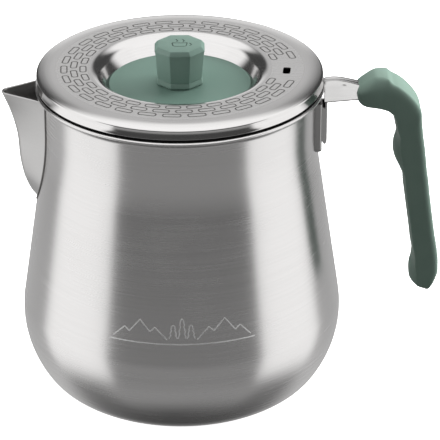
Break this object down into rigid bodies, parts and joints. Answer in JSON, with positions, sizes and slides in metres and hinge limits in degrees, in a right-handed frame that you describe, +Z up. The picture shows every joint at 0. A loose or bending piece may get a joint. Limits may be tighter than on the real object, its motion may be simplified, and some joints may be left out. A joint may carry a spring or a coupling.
{
  "type": "coffee percolator",
  "caption": "Stovetop camp coffee percolator: pear-shaped steel pot with welded spout, fixed silicone grip, lift-off knob lid, pump stem, coffee basket and spreader.",
  "frame": {"origin": "centre of the standing face, on the pot's axis", "axes": "+Z up along the pot's axis, +X towards the handle, -X towards the spout"},
  "size_m": [0.2029, 0.15, 0.1748],
  "materials": {
    "pot_steel": "satin, brushed round the pot",
    "spout_steel": "satin, brushed level",
    "bracket_steel": "bright satin, pressed and spot-welded",
    "strap_steel": "polished stamping",
    "grip_green": "matte sage-green silicone",
    "lid_steel": "satin, brushed round the lid, with engraved capsules",
    "collar_steel": "plain rolled sheet",
    "disc_green": "smooth matte sage-green silicone",
    "knob_green": "matte sage-green silicone over a moulded core",
    "insert_brass": "plain turned",
    "fastener_steel": "plain machined",
    "gasket_silicone": "translucent food-grade silicone",
    "insert_steel": "satin drawn sheet"
  },
  "bodies": {
    "pot": {"pot_body": "pot_steel", "spout": "spout_steel", "handle_bracket": "bracket_steel", "handle_strap": "strap_steel", "handle_grip": "grip_green"},
    "lid": {"lid_shell": "lid_steel", "lid_collar": "collar_steel", "lid_disc": "disc_green", "knob": "knob_green", "knob_insert": "insert_brass", "knob_screw": "fastener_steel", "knob_washer": "fastener_steel", "knob_lock_washer": "fastener_steel", "knob_gasket": "gasket_silicone"},
    "stem": {"stem_tube": "insert_steel", "stem_foot": "insert_steel", "stem_stop": "insert_steel"},
    "basket": {"basket_shell": "insert_steel", "basket_tube": "insert_steel"},
    "spreader": {"spreader": "insert_steel"}
  },
  "joints": [
    {"name": "lid_lift", "type": "slide", "parent": "pot", "child": "lid", "axis": [0, 0, 1], "range_m": [0, 0.36]},
    {"name": "stem_lift", "type": "slide", "parent": "pot", "child": "stem", "axis": [0, 0, 1], "range_m": [0, 0.18]},
    {"name": "basket_lift", "type": "slide", "parent": "stem", "child": "basket", "axis": [0, 0, 1], "range_m": [0, 0.0756]},
    {"name": "spreader_lift", "type": "slide", "parent": "basket", "child": "spreader", "axis": [0, 0, 1], "range_m": [0, 0.036]}
  ],
  "couplings": [
    {"joint": "stem_lift", "follows": "lid_lift", "ratio": 0.5},
    {"joint": "basket_lift", "follows": "lid_lift", "ratio": 0.21},
    {"joint": "spreader_lift", "follows": "lid_lift", "ratio": 0.1}
  ]
}
